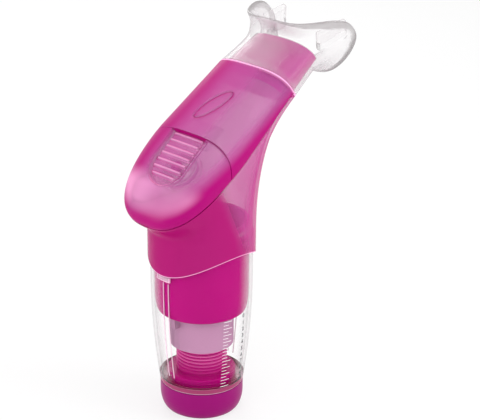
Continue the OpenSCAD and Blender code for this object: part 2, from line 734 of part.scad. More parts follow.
function sweep(y) = lip_bend * pow(abs(y) / lip_w, shield_pow);
function slant(y) = sqrt(1 + pow(shield_pow * lip_bend / lip_w * pow(abs(y) / lip_w, shield_pow - 1), 2));
function flare(row, from, s) = [mix(from[0], lip_w, row[0]), mix(from[1], lip_rise, row[0]),
    mix(from[2], lip_drop, row[0]), mix(s, shield_s, row[1]), row[2], row[3]];
module mouthpiece() {
    s0 = upper_len + gap;
    s1 = upper_len + socket_len;
    stop_s = upper_len + spigot_len + gap;
    t = mouth_wall + spigot_clear;
    wide = [tip_w + t, tip_rise + t, tip_drop + t];
    bore = [tip_w - spigot_wall, tip_rise - spigot_wall, tip_drop - spigot_wall];
    rows = concat([[neck_w, neck_f, neck_back, s0, 0, 0]],
        [for (row = flare_out_shares) flare(row, wide, s1)],
        [for (side = [-1, 0, 1]) let (in = side == 0 ? 0 : lip_bead)
            [lip_w - in, lip_rise - in, lip_drop - in, shield_s, 1, side]],
        [for (row = flare_in_shares) flare(row, bore, stop_s)],
        [[tip_w + spigot_clear, tip_rise + spigot_clear, tip_drop + spigot_clear, stop_s, 0, 0],
        [neck_w - mouth_wall, neck_f - mouth_wall, neck_back - mouth_wall, s0, 0, 0]]);
    color_clear() union() {
        loop_skin([for (r = rows) [for (j = [0:oval_n - 1]) let (a = 360 * (j + 0.5) / oval_n,
            p = r[3] > s0 ? oval_pow : shell_pow,
            y = r[0] * c_of(a, p), v = (a < 180 ? r[1] : r[2]) * s_of(a, p))
            handle_pt(r[3] + r[4] * (sweep(y) - v * tan(shield_tilt)) + r[5] * shield_t * slant(y), y, v)]]);
        for (side = [-1, 1])
            bite_tab(side);
    }
}

tab_near = 17.5;
tab_far = 25;
tab_t = 3;
tab_turn = 40;
module bite_tab(side) {
    hull() {
        for (y = [tab_near, tab_far], reach = [0, bite_len])
            translate(handle_pt(shield_s + sweep(y) + reach * cos(tab_turn),
                side * (y - reach * sin(tab_turn)), 0))
            sphere(r = tab_t / 2, $fn = 16);
    }
}

base_knob();
drive_screw();
glide_washer();
calibrator_sleeve();
tension_nut();
valve_chamber();
chamber_seal();
valve_seat();
poppet();
poppet_seal();
valve_stem();
spring_plate();
stem_clip();
load_spring();
body_shell();
airway_front();
mouth_spigot();
outlet_seat();
outlet_flap();
flap_button();
handle_cover();
thumb_cover();
cover_tongue();
mouthpiece();
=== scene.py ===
"""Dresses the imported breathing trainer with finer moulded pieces, its load
thread, its printed scale and its plastics. Sizes are millimetres unless a name
says otherwise; every mesh is written in metres, in the frame's own axes."""
import math

import bmesh
import bpy
from mathutils import Matrix, Vector


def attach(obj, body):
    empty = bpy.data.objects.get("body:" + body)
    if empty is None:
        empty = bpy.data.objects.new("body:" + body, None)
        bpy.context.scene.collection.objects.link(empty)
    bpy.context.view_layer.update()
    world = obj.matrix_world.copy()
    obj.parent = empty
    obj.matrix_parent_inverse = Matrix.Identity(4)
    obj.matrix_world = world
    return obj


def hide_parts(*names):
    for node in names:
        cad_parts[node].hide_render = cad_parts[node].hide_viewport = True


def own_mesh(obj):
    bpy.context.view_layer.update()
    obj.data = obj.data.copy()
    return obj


bl_info = {
    "name": "Breathing Trainer Dresser",
    "version": (1, 0, 0),
    "blender": (4, 5, 0),
    "location": "3D View > Sidebar > Trainer",
    "description": "Builds the visible pieces of a hand-held breathing trainer on its packed frame",
    "category": "Add Mesh",
}

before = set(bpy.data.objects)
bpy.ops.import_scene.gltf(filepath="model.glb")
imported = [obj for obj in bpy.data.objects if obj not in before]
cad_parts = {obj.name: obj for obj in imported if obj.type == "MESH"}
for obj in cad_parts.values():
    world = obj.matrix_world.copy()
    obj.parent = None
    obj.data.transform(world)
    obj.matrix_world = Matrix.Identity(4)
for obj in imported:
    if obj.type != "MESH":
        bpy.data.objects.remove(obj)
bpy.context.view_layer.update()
MM = 0.001

# Load unit, from the resting face up
KNOB_R, SLEEVE_R, SLEEVE_WALL = 19.9, 24.1, 1.4
LIP_Z, LIP_T, SLEEVE_TOP, CURVE_H = 14.6, 1.6, 90.3, 53.7
SLEEVE_FLOOR = LIP_Z + LIP_T
NECK_R, SOCKET_Z, COLLAR_Z, COLLAR_TOP, COLLAR_R = 14.0, 9.0, 17.2, 20.1, 16.2
SCREW_R, SCREW_BORE_R, NUT_R, NUT_H, NUT_TOP = 12.2, 9.6, 15.2, 17.7, 51.7
NUT_WEB, NUT_TRAVEL, STOP_GAP = 1.6, 12.25, 0.3
SCREW_TOP = NUT_TOP - NUT_WEB - NUT_TRAVEL - STOP_GAP
SPRING_Z, SPRING_LEN, SPRING_R = 7.9, 25.0, 7.0
NUT_BEADS, NUT_BEAD_STEP, COLLAR_BEADS, COLLAR_BEAD_STEP, COLLAR_BEAD = 21, 0.8, 4, 0.6, 0.12
CUP_R, SHOULDER_Z = 22.2, 93.0
RIB_IN, RIB_T, RIB_Y, RIB_FOOT, RIB_RISE, RIB_ROOT = 16.4, 0.5, 1.7, 0.6, 18.7, 0.45
LUG_TURN, LUG_OUT, LUG_H = 10.0, 0.5, 2.6

# Printed scale: its turn and digits' turn from +X in degrees, and the ink's lift off the wall
TICK_TURN, DIGIT_TURN, TICK_TOP, TICKS = -107.5, 20.0, 53.2, 21
TICK_LEN, TICK_HALF, NUMBER_AT, STROKE, INK_LIFT = 4.4, 0.13, 11.5, 0.1, 0.03

# Handle: s runs up it, v stands out of its seam plane
LEAN = math.radians(53.6)
SEAM_X, SEAM_Z = 0.4, 128.2
UP_LEN, LOW_LEN, CAP_S = 44.9, 43.8, 1.8
CAP_LEN = LOW_LEN + CAP_S
CAP_POW, SHELL_POW, WALL = 2.8, 3.1, 1.6
HANDLE_W, NECK_W, COVER_F, NECK_F, NECK_BACK = 26.2, 22.8, 14.2, 12.9, 5.2
COVER_JOINT, JOINT_DROP, VENT_GAP, GAP = 0.6, 8.4, 0.6, 0.3
OVAL_S, OVAL_LONG, OVAL_SHORT, OVAL_WIDTH, OVAL_TURN = 18.5, 10.3, 3.8, 0.9, -28.0
SKIRT_R, SKIRT_IN, BODY_BORE, WAVE_Z, WAVE = 25.3, 24.45, 23.7, 80.0, 5.0
SCOOP_W, SCOOP_EDGE, SCOOP_DEPTH, SCOOP_S, SCOOP_FADE = 10.5, 1.4, 1.9, -16.4, 32.0
BACK_ANGLE, BEND, BACK_BEND = 27.0, 0.325, 1.18
TURN_FROM, TURN_SPAN, TURN_IN = 26.0, 90.0, 0.66

# Mouth end
OVAL_POW, SPIGOT_LEN, SPIGOT_CLEAR, SPIGOT_WALL, MOUTH_WALL = 2.5, 21.0, 0.15, 1.5, 1.9
TIP = (19.3, 8.6, 4.5)
LIP = (27.4, 21.5, 20.0)
SOCKET_LEN, SHIELD_S, SHIELD_POW, SHIELD_TILT, SHIELD_T = 17.5, UP_LEN + 23.6, 3.9, 7.0, 0.85
LIP_BEND, LIP_BEAD = 18.6, 0.8
BITE_TURN, BITE_R, BITE_FROM, BITE_TO = 40.0, 1.5, 17.5, 25.0
PLUG_S, PLUG_T = UP_LEN - 5.3, 2.6

UP_DIR = Vector((math.sin(LEAN), 0, math.cos(LEAN)))
OUT_DIR = Vector((-math.cos(LEAN), 0, math.sin(LEAN)))
SEAM = Vector((SEAM_X, 0, SEAM_Z))

# View of the photograph: picture width and lens in pixels, the film's width, the shifts in
# pixels, then degrees round and up, and metres to the height that is looked at and away from it
PICTURE_W, LENS, FILM, SHIFT_X, SHIFT_Y = 480, 1512, 36, 38.34, 5.33
VIEW_TURN, VIEW_RISE, VIEW_HEIGHT, VIEW_AWAY = -43.0, 22.0, 0.098, 0.7


def handle_pt(s, y, v):
    return SEAM + UP_DIR * s + OUT_DIR * v + Vector((0, y, 0))


def polar(r, a, z):
    """A point at radius r and height z, turned by a radians about the load unit's axis."""
    return Vector((r * math.cos(a), r * math.sin(a), z))


def reach(p):
    """Distance of a point from the load unit's axis."""
    return math.hypot(p.x, p.y)


def mix(a, b, t):
    return a + (b - a) * t


def smooth(t):
    t = min(max(t, 0), 1)
    return t * t * (3 - 2 * t)


def lobe(x, power):
    return math.copysign(abs(x) ** (2 / power), x)


def side_w(s, e):
    if s > CAP_S:
        return mix(HANDLE_W, NECK_W, (s - CAP_S) / (UP_LEN - CAP_S)) - e
    x = min((CAP_S - s) / (CAP_LEN - e), 1)
    return (HANDLE_W - e) * (1 - x ** CAP_POW) ** (1 / CAP_POW)


def front_f(s, f, e):
    if s > CAP_S:
        return f - e
    return (f - e) * math.sqrt(max(1 - ((CAP_S - s) / (CAP_LEN - e)) ** 2, 0))


def cover_depth(s):
    return mix(COVER_F, NECK_F, max((s - CAP_S) / (UP_LEN - CAP_S), 0))


def arch(q):
    return (1 - min(abs(q), 1) ** SHELL_POW) ** (1 / SHELL_POW)


def cover_pt(s, q, e, v0, bend, relief):
    """A point of a cover: q runs from seam to seam, relief(s, y) is its surface detail."""
    t = s - bend * JOINT_DROP * (1 - arch(q))
    w, f = side_w(t, e), front_f(t, cover_depth(t), e)
    y = q * w
    return handle_pt(t, y, v0 + (f - v0) * arch(q) + relief(s, y))


# Meshes


def add(name, data):
    """Links a new object to the scene."""
    made = bpy.data.objects.new(name, data)
    bpy.context.scene.collection.objects.link(made)
    return made


def aimed(item, at, direction):
    """Puts a lamp or a camera at a place in metres and turns it along a direction."""
    item.location = at
    item.rotation_mode = "QUATERNION"
    item.rotation_quaternion = direction.to_track_quat("-Z", "Y")
    return item


def mesh_from(name, bm):
    """Turns a bmesh into a mesh and frees it."""
    mesh = bpy.data.meshes.new(name)
    bm.to_mesh(mesh)
    bm.free()
    return mesh


def mesh_of(name, points, faces, material, crease=30):
    """A closed mesh from points in millimetres, with outward faces and its sharp edges kept."""
    mesh = bpy.data.meshes.new(name)
    mesh.from_pydata([Vector(p) * MM for p in points], [], faces)
    return finish_mesh(name, mesh, material, crease)


def finish_mesh(name, mesh, material, crease=30):
    """Welds a mesh, turns its faces outward, marks its sharp edges and makes it a piece."""
    bm = bmesh.new()
    bm.from_mesh(mesh)
    bmesh.ops.remove_doubles(bm, verts=bm.verts, dist=1e-7)
    bmesh.ops.recalc_face_normals(bm, faces=bm.faces)
    bm.to_mesh(mesh)
    bm.free()
    mesh.shade_smooth()
    mesh.set_sharp_from_angle(angle=math.radians(crease))
    mesh.materials.clear()
    mesh.materials.append(material)
    return add(name, mesh)


def ring_faces(rows, cols, close_rows, close_cols=True):
    """Quads between the points of a grid, closed along its rows or columns."""
    last_row = rows if close_rows else rows - 1
    last_col = cols if close_cols else cols - 1
    return [(i * cols + j, i * cols + (j + 1) % cols,
             (i + 1) % rows * cols + (j + 1) % cols, (i + 1) % rows * cols + j)
            for i in range(last_row) for j in range(last_col)]


def flat(rows):
    return [p for row in rows for p in row]


def loop_of(name, rows, material, crease=30):
    """A ring-shaped wall: the last row joins the first."""
    return mesh_of(name, flat(rows), ring_faces(len(rows), len(rows[0]), True), material, crease)


def lathe(name, profile, material, steps=128):
    """A turned piece from (radius, height) pairs, closed along its profile."""
    rows = [[polar(r, 2 * math.pi * k / steps, z) for k in range(steps)] for r, z in profile]
    return loop_of(name, rows, material)


def baked(item):
    """A plain mesh of what an object shows."""
    graph = bpy.context.evaluated_depsgraph_get()
    return bpy.data.meshes.new_from_object(item.evaluated_get(graph))


def modified(piece, kind, **settings):
    """Applies one modifier and leaves a plain mesh."""
    modifier = piece.modifiers.new(kind.title(), kind)
    for key, value in settings.items():
        setattr(modifier, key, value)
    mesh = baked(piece)
    piece.modifiers.clear()
    piece.data = mesh
    return piece


def softened(piece, width, crease=30):
    """Rounds the sharp edges of a moulded piece."""
    modified(piece, "BEVEL", width=width * MM, segments=2, limit_method="ANGLE",
             angle_limit=math.radians(crease), harden_normals=True)
    return piece


# Node trees


def put(tree, kind, links=None, **settings):
    """Adds a node with its settings; links maps an input to a value or to another socket."""
    made = tree.nodes.new(kind)
    for key, value in settings.items():
        setattr(made, key, value)
    for name, source in (links or {}).items():
        if isinstance(source, bpy.types.NodeSocket):
            tree.links.new(source, made.inputs[name])
        else:
            made.inputs[name].default_value = source
    return made


def reckon(tree, operation, a, b):
    """One sum of two values or sockets."""
    return put(tree, "ShaderNodeMath", {0: a, 1: b}, operation=operation).outputs[0]


def ranged(tree, value, start, end, low, high, kind="LINEAR"):
    """A value carried from one range to another, held at its ends."""
    return put(tree, "ShaderNodeMapRange", {"Value": value, "From Min": start, "From Max": end,
               "To Min": low, "To Max": high}, interpolation_type=kind).outputs["Result"]


def noise(tree, where, scale, detail):
    return put(tree, "ShaderNodeTexNoise",
               {"Vector": where, "Scale": scale, "Detail": detail}).outputs["Fac"]


def blended(tree, share, a, b):
    """Two colours mixed by a share."""
    return put(tree, "ShaderNodeMix", {"Factor": share, "A": a, "B": b},
               data_type="RGBA").outputs["Result"]


def blank(name):
    """A new material, its tree and its shader."""
    material = bpy.data.materials.new(name)
    material.use_nodes = True
    return material, material.node_tree, material.node_tree.nodes["Principled BSDF"]


def linear(code):
    """An sRGB hex code as a linear colour."""
    parts = [int(code[i:i + 2], 16) / 255 for i in (1, 3, 5)]
    return tuple(c / 12.92 if c <= 0.04045 else ((c + 0.055) / 1.055) ** 2.4
                 for c in parts) + (1.0,)


def plastic(name, colour, edge_colour, edge_power, grain_mm, grain_depth, roughness, rough_spread,
            clear=None, clear_from=0, step=None, seam=0, lit=None, shade=None, ior=1.45, gloss=0.5):
    """A moulded plastic: its colour deepens where the wall is seen edge on, and a fine grain
    of grain_mm breaks its gloss. clear gives the share of light that one face stops, seen
    square on and edge on, and clear_from where it starts to rise. step gathers the edge
    colour between two shares of the turn. seam is the height of the deeper band over the
    handle's seam, partly painted shade. lit and shade colour what the piece's attributes of
    those names mark: lit carries painted highlights and glows, shade painted shade, and
    elsewhere print and a colour seen through a clear wall."""
    material, tree, shader = blank(name)
    where = put(tree, "ShaderNodeTexCoord").outputs["Object"]
    haze = noise(tree, where, 60.0, 3.0)
    spread = ranged(tree, haze, 0.3, 0.7, roughness, roughness + rough_spread)
    bump = put(tree, "ShaderNodeBump", {"Height": noise(tree, where, 1000 / grain_mm, 2.0),
               "Strength": 0.35, "Distance": grain_depth * MM})
    tree.links.new(spread, shader.inputs["Roughness"])
    tree.links.new(bump.outputs["Normal"], shader.inputs["Normal"])
    share = put(tree, "ShaderNodeLayerWeight", {"Blend": edge_power}).outputs["Facing"]
    if step:
        share = ranged(tree, share, *step, 0.0, 1.0, "SMOOTHSTEP")
    if seam:
        # Partly painted shade: the band deepens the tint over the seam and widens towards the thumb end
        # and the -Y side
        up = OUT_DIR + UP_DIR * 0.1 + Vector((0, 0.15, 0))
        rise = put(tree, "ShaderNodeVectorMath", {0: where, 1: up}, operation="DOT_PRODUCT")
        foot = SEAM.dot(up) * MM
        band = ranged(tree, rise.outputs["Value"], foot, foot + seam * MM, 1.0, 0.0, "SMOOTHSTEP")
        share = reckon(tree, "MAXIMUM", share, band)
    body = blended(tree, share, linear(colour), linear(edge_colour or colour))
    if clear:
        stopped = ranged(tree, share, clear_from, 1.0, *clear)
    for label, paint in (("lit", lit), ("shade", shade)):
        if paint:
            marked = put(tree, "ShaderNodeAttribute", attribute_name=label).outputs["Fac"]
            body = blended(tree, marked, body, linear(paint))
            if clear:
                # What is marked is painted over, so it stops at least that share of light
                stopped = reckon(tree, "MAXIMUM", stopped, marked)
    tree.links.new(body, shader.inputs["Base Color"])
    if clear:
        tree.links.new(stopped, shader.inputs["Alpha"])
    shader.inputs["IOR"].default_value = ior
    shader.inputs["Specular IOR Level"].default_value = gloss
    return material


def painted(piece, label, rule):
    """Marks the points of a piece with a share from 0 to 1; rule takes a point in millimetres."""
    marks = piece.data.attributes.new(label, "FLOAT", "POINT")
    for vertex in piece.data.vertices:
        marks.data[vertex.index].value = rule(vertex.co / MM)


def handle_place(p):
    """Where a point lies along, across and above the handle's seam plane."""
    q = p - SEAM
    return q.dot(UP_DIR), q.y, q.dot(OUT_DIR)


def grow(name, build, material, body, **sizes):
    """Runs a geometry-nodes tree on an empty mesh and keeps its result as a plain piece.
    build(tree, inputs) links named size inputs to the geometry it returns. A float is a
    size in millimetres, a whole number a count."""
    tree = bpy.data.node_groups.new(name, "GeometryNodeTree")
    tree.interface.new_socket("Geometry", in_out="OUTPUT", socket_type="NodeSocketGeometry")
    ids = {}
    for label, value in sizes.items():
        kind = "NodeSocketInt" if isinstance(value, int) else "NodeSocketFloat"
        ids[label] = tree.interface.new_socket(label, in_out="INPUT", socket_type=kind).identifier
    inputs = put(tree, "NodeGroupInput").outputs
    real = put(tree, "GeometryNodeRealizeInstances", {"Geometry": build(tree, inputs)})
    dressed = put(tree, "GeometryNodeSetMaterial",
                  {"Geometry": real.outputs["Geometry"], "Material": material})
    put(tree, "NodeGroupOutput", {"Geometry": dressed.outputs["Geometry"]})
    seed = add(name, bpy.data.meshes.new(name))
    modifier = seed.modifiers.new("Grow", "NODES")
    modifier.node_group = tree
    for label, value in sizes.items():
        modifier[ids[label]] = value if isinstance(value, int) else value * MM
    mesh = baked(seed)
    bpy.data.objects.remove(seed)
    if not mesh.polygons:
        raise RuntimeError(name + " came out empty")
    mesh.materials.clear()
    piece = finish_mesh(name, mesh, material, 40)
    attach(piece, body)
    return piece


# Moulded pieces of the handle

ACROSS = 150


def across(count):
    """Shares of the half width from seam to seam, closer together where the cover turns down."""
    return [math.copysign(1 - (1 - abs(x)) ** 2.2, x)
            for x in (2 * k / count - 1 for k in range(count + 1))]


def cover_sheet(rows, e, v0, relief):
    """Rows of (s, bend) become a sheet of cover points drawn in by e."""
    return [[cover_pt(s, q, e, v0, bend, relief) for q in across(ACROSS)] for s, bend in rows]


def cover_wall(name, outer, inner, material):
    """A wall between two sheets of the same size: up one, down the other and along the sides."""
    rows, cols = outer + inner[::-1], len(outer[0])
    faces = ring_faces(len(rows), cols, True, False)
    for i in range(len(outer) - 1):
        for a, b in ((i * cols + k, (len(rows) - 1 - i) * cols + k) for k in (0, cols - 1)):
            faces.append((a, a + cols, b - cols, b))
    return mesh_of(name, flat(rows), faces, material, 32)


def oval_groove(depth, width=OVAL_WIDTH):
    """Relief of a shallow groove round a leaning oval in the middle of the upper cover."""
    turn = math.radians(OVAL_TURN)

    def relief(s, y):
        x, z = s - OVAL_S, y
        u = x * math.cos(turn) + z * math.sin(turn)
        w = z * math.cos(turn) - x * math.sin(turn)
        r = math.hypot(u / OVAL_LONG, w / OVAL_SHORT)
        if not 0.6 < r < 1.5:
            return 0
        grad = math.hypot(u / OVAL_LONG ** 2, w / OVAL_SHORT ** 2) / r
        off = abs(r - 1) / grad / (width / 2)
        return -depth * (1 - smooth(off))
    return relief


def scoop_relief(rib_h, rib_pitch, ribs):
    """Relief of the thumb scoop: a U-shaped hollow with rounded cross ribs."""
    half = 0.22 * rib_pitch

    def relief(s, y):
        if s > COVER_JOINT:
            return 0
        d = abs(y) if s > SCOOP_S else math.hypot(y, s - SCOOP_S)
        hollow = -SCOOP_DEPTH * smooth((SCOOP_W + SCOOP_EDGE / 2 - d) / SCOOP_EDGE)
        place = (COVER_JOINT - 0.45 * rib_pitch - s) / rib_pitch
        near = min(max(round(place), 0), ribs - 1)
        off = abs(place - near) * rib_pitch / half
        rib = rib_h * math.sqrt(max(1 - off * off, 0)) if off < 1 else 0
        return hollow + rib * smooth((SCOOP_W - 0.9 - d) / 0.8)
    return relief


def shoulder_turn(a):
    """How far the body at angle a, in degrees from the back, has turned to the front."""
    return smooth((abs(a) - TURN_FROM) / TURN_SPAN)


def seam_pt(a, e):
    """The point of the handle's seam outline that the body's meridian a climbs to."""
    b = abs(a)
    if b < BACK_ANGLE:
        k = math.radians(90 * b / BACK_ANGLE)
        return handle_pt(UP_LEN, math.copysign(NECK_W - e, a) * lobe(math.sin(k), SHELL_POW),
                         -(NECK_BACK - e) * lobe(math.cos(k), SHELL_POW))
    g = (b - BACK_ANGLE) / (180 - BACK_ANGLE)
    if g < 0.5:
        s = mix(UP_LEN, CAP_S, g / 0.5)
        return handle_pt(s, math.copysign(side_w(s, e), a), 0)
    k = math.radians(90 * (g - 0.5) / 0.5)
    return handle_pt(CAP_S - (CAP_LEN - e) * lobe(math.sin(k), CAP_POW),
                     math.copysign(HANDLE_W - e, a) * lobe(math.cos(k), CAP_POW), 0)


def climb_pt(a, e, t):
    """A meridian of the body, from its shoulder to the seam outline."""
    turned = shoulder_turn(a)
    p0 = polar(SKIRT_R - e, math.radians(a), SHOULDER_Z)
    p3 = seam_pt(a, e)
    pull = BEND * (p3 - p0).length
    arrive = UP_DIR * math.cos(math.pi / 2 * turned) + OUT_DIR * math.sin(math.pi / 2 * turned)
    p1 = p0 + Vector((0, 0, pull * mix(BACK_BEND, 1, turned)))
    p2 = p3 - arrive * pull * mix(1, TURN_IN, turned)
    u = 1 - t
    return p0 * u ** 3 + p1 * 3 * u * u * t + p2 * 3 * u * t * t + p3 * t ** 3


def body_rows(steps, climb_steps):
    """Rows of the body's wall: up its outside, down its inside and round its wavy edge."""
    turns = [360 * (j + 0.5) / steps - 180 for j in range(steps)]

    def ring(r, z, wave=0):
        return [polar(r, math.radians(a), z - wave * math.cos(math.radians(2 * a))) for a in turns]

    def edge(r, lift):
        return ring(r, WAVE_Z + lift, WAVE)
    climb = [k / climb_steps for k in range(climb_steps)] + [0.99, 1]
    outer = [[climb_pt(a, 0, t) for a in turns] for t in climb]
    inner = [[climb_pt(a, WALL, t) for a in turns] for t in reversed(climb)]
    round_r, step_z = 0.4, SLEEVE_TOP + GAP
    lip = [edge(SKIRT_R - round_r * (1 - math.cos(k)), round_r * (1 - math.sin(k)))
           for k in (math.pi / 2, math.pi / 3, math.pi / 6, 0)]
    bore = [ring(BODY_BORE, step_z), ring(SKIRT_IN, step_z), edge(SKIRT_IN, 0.5), edge(SKIRT_IN, 0)]
    return outer + inner + bore + lip + [edge(SKIRT_R, 0.6)]


def oval(size, power, steps):
    """Points (y, v) of an oval from its half width, its rise and its drop from the seam."""
    w, rise, drop = size
    turns = [2 * math.pi * (j + 0.5) / steps for j in range(steps)]
    return [(w * lobe(math.cos(a), power), (rise if a < math.pi else drop) * lobe(math.sin(a), power))
            for a in turns]


def less(size, t):
    """A size drawn in by t all round."""
    return tuple(x - t for x in size)


def spigot_rows(steps):
    """Rows of the spigot: its plug in the neck, its outside to the tip, then its bore."""
    plug = (NECK_W - WALL - GAP, NECK_F - WALL - GAP - 0.1, NECK_BACK - WALL - GAP)
    neck = less((NECK_W, NECK_F, NECK_BACK), MOUTH_WALL + SPIGOT_CLEAR)
    top, tip_s, t = PLUG_S + PLUG_T, UP_LEN + SPIGOT_LEN, SPIGOT_WALL
    table = [(plug, PLUG_S, SHELL_POW), (plug, top, SHELL_POW), (neck, top, SHELL_POW),
             (neck, UP_LEN, SHELL_POW), (TIP, tip_s, OVAL_POW), (less(TIP, t), tip_s, OVAL_POW),
             (less(neck, t), UP_LEN, SHELL_POW), (less(neck, t), PLUG_S, SHELL_POW)]
    return [[handle_pt(s, y, v) for y, v in oval(size, power, steps)] for size, s, power in table]


def shield_sweep(y):
    """How far the lip shield bends away from the face at y."""
    return LIP_BEND * (abs(y) / LIP[0]) ** SHIELD_POW


def mouthpiece_rows(steps):
    """Cage of the mouthpiece: size, distance up the handle, share of sweep, side of the thickness."""
    t = MOUTH_WALL + SPIGOT_CLEAR
    s0, s1, stop = UP_LEN + GAP, UP_LEN + SOCKET_LEN, UP_LEN + SPIGOT_LEN + GAP
    wide, bore = less(TIP, -t), less(TIP, SPIGOT_WALL)
    neck = (NECK_W, NECK_F, NECK_BACK)

    def flare(start, s, grown, run, swept, side):
        return (tuple(mix(a, b, grown) for a, b in zip(start, LIP)), mix(s, SHIELD_S, run), swept, side)
    table = [(neck, s0, 0, 0), flare(wide, s1, 0, 0, 0, 0), flare(wide, s1, 0.17, 0.45, 0.25, 0),
             flare(wide, s1, 0.55, 0.85, 0.75, -0.5)]
    table += [(less(LIP, 0 if side == 0 else LIP_BEAD), SHIELD_S, 1, side) for side in (-1, 0, 1)]
    table += [flare(bore, stop, 0.6, 1, 1, 1), flare(bore, stop, 0.15, 1, 0.8, 1),
              flare(bore, stop, 0, 0.6, 0.2, 0), flare(bore, stop, 0, 0, 0, 0),
              (less(TIP, -SPIGOT_CLEAR), stop, 0, 0), (less(neck, MOUTH_WALL), s0, 0, 0)]
    rows = []
    for size, s, swept, side in table:
        row = []
        for y, v in oval(size, OVAL_POW if s > s0 else SHELL_POW, steps):
            slope = SHIELD_POW * LIP_BEND / LIP[0] * (abs(y) / LIP[0]) ** (SHIELD_POW - 1)
            lift = swept * (shield_sweep(y) - v * math.tan(math.radians(SHIELD_TILT)))
            row.append(handle_pt(s + lift + side * SHIELD_T * math.hypot(1, slope), y, v))
        rows.append(row)
    return rows


def bite_tab(side, reach_len, material):
    """One bite tab: a rounded block that grows from the shield towards the teeth."""
    bm = bmesh.new()
    turn = math.radians(BITE_TURN)
    for y in (BITE_FROM, BITE_TO):
        for run in (0.0, reach_len):
            at = handle_pt(SHIELD_S + shield_sweep(y) + run * math.cos(turn),
                           side * (y - run * math.sin(turn)), 0)
            bmesh.ops.create_uvsphere(bm, u_segments=32, v_segments=16, radius=BITE_R * MM,
                                      matrix=Matrix.Translation(at * MM))
    hull = bmesh.ops.convex_hull(bm, input=bm.verts)
    bmesh.ops.delete(bm, geom=[g for g in hull["geom_interior"] + hull["geom_unused"]
                               if isinstance(g, bmesh.types.BMVert)], context="VERTS")
    return finish_mesh("bite_tab", mesh_from("bite_tab", bm), material, 50)


def joined(base, others):
    """Fuses closed pieces into one skin."""
    for other in others:
        modified(base, "BOOLEAN", operation="UNION", solver="EXACT", object=other)
        bpy.data.objects.remove(other)
    return base


# Load unit


def sleeve_at(z):
    """The sleeve's outer radius at a height: it widens upwards and then runs straight."""
    t = min(max((z - LIP_Z) / CURVE_H, 0), 1)
    return mix(KNOB_R, SLEEVE_R, 1 - (1 - t) ** 2)


def plate(bm, r_in, r_out_at, z0, z1, y, thick, turn):
    """A guide rib: a flat plate between an inner radius and the sleeve's wall."""
    spin, steps, verts = Matrix.Rotation(turn, 3, "Z"), 16, []
    for k in range(steps + 1):
        z = mix(z0, z1, k / steps)
        radii = (r_in, r_out_at(z) - RIB_ROOT, r_out_at(z))
        loop = [(r, -thick / 2) for r in radii] + [(r, thick / 2) for r in reversed(radii)]
        verts += [bm.verts.new(spin @ Vector((r, y + dy, z)) * MM) for r, dy in loop]
    faces = ring_faces(steps + 1, 6, False)
    for a in (0, 6 * steps):
        faces += [(a, a + 1, a + 4, a + 5), (a + 1, a + 2, a + 3, a + 4)]
    for face in faces:
        bm.faces.new([verts[i] for i in face])


def sleeve_profile():
    """The sleeve's outside from its lip up, its inside back down, then its rounded floor."""
    floor = SLEEVE_FLOOR
    rise = [LIP_Z, LIP_Z + 0.45, floor + 0.2, floor + 0.35, floor + 1.1, floor + 1.3]
    rise += [LIP_Z + CURVE_H * k / 40 for k in range(3, 41)] + [SLEEVE_TOP]
    outer = [(sleeve_at(z), z) for z in rise]
    inner = [(r - SLEEVE_WALL, z) for r, z in reversed(outer) if z > floor + 0.4]
    corner, round_r = sleeve_at(floor) - SLEEVE_WALL, 0.4
    turns = [math.pi / 8 * k for k in range(5)]
    foot = [(corner - round_r * (1 - math.cos(a)), floor + round_r * (1 - math.sin(a)))
            for a in turns]
    foot += [(NECK_R + 0.06, floor), (NECK_R + 0.06, LIP_Z)]
    return outer + inner + foot


# Turns a flat section so that its crest points away from the axis
TURN_OUT = math.pi / 2


def spiral(tree, inputs, resolution, rotations):
    """A spiral of even radius and of the piece's length."""
    return put(tree, "GeometryNodeCurveSpiral", {"Resolution": resolution, "Rotations": rotations,
               "Start Radius": inputs["Radius"], "End Radius": inputs["Radius"],
               "Height": inputs["Length"]}).outputs["Curve"]


def upward(tree, height):
    return put(tree, "ShaderNodeCombineXYZ", {"Z": height}).outputs["Vector"]


def circle(tree, points, radius):
    return put(tree, "GeometryNodeCurvePrimitiveCircle",
               {"Resolution": points, "Radius": radius}).outputs["Curve"]


def swept(tree, path, section, caps):
    return put(tree, "GeometryNodeCurveToMesh",
               {"Curve": path, "Profile Curve": section, "Fill Caps": caps}).outputs["Mesh"]


def lifted(tree, inputs, mesh):
    """Moves a mesh up to the piece's start."""
    return put(tree, "GeometryNodeTransform",
               {"Geometry": mesh, "Translation": upward(tree, inputs["Start"])}).outputs["Geometry"]


def thread(tree, inputs):
    """A ridge of one thread section swept up a spiral."""
    turns = reckon(tree, "DIVIDE", inputs["Length"], inputs["Pitch"])
    upright = put(tree, "GeometryNodeSetCurveNormal",
                  {"Curve": spiral(tree, inputs, 72, turns)}, mode="Z_UP")
    section = put(tree, "GeometryNodeCurvePrimitiveQuadrilateral",
                  {"Bottom Width": inputs["Foot"], "Top Width": inputs["Crest"],
                   "Height": inputs["Depth"], "Offset": 0.0}, mode="TRAPEZOID")
    turned = put(tree, "GeometryNodeTransform",
                 {"Geometry": section.outputs["Curve"], "Rotation": (0, 0, TURN_OUT)})
    ridge = swept(tree, upright.outputs["Curve"], turned.outputs["Geometry"], True)
    return lifted(tree, inputs, ridge)


def coil(tree, inputs):
    """A round wire swept up a spiral."""
    path, section = spiral(tree, inputs, 48, inputs["Coils"]), circle(tree, 12, inputs["Wire"])
    return lifted(tree, inputs, swept(tree, path, section, True))


def hoops(tree, inputs):
    """Thin turned beads repeated up a cylinder."""
    stack = put(tree, "GeometryNodeMeshLine",
                {"Count": inputs["Count"], "Start Location": upward(tree, inputs["Start"]),
                 "Offset": upward(tree, inputs["Step"])})
    bead = swept(tree, circle(tree, 128, inputs["Radius"]), circle(tree, 8, inputs["Bead"]), False)
    return put(tree, "GeometryNodeInstanceOnPoints",
               {"Points": stack.outputs["Mesh"], "Instance": bead}).outputs["Instances"]


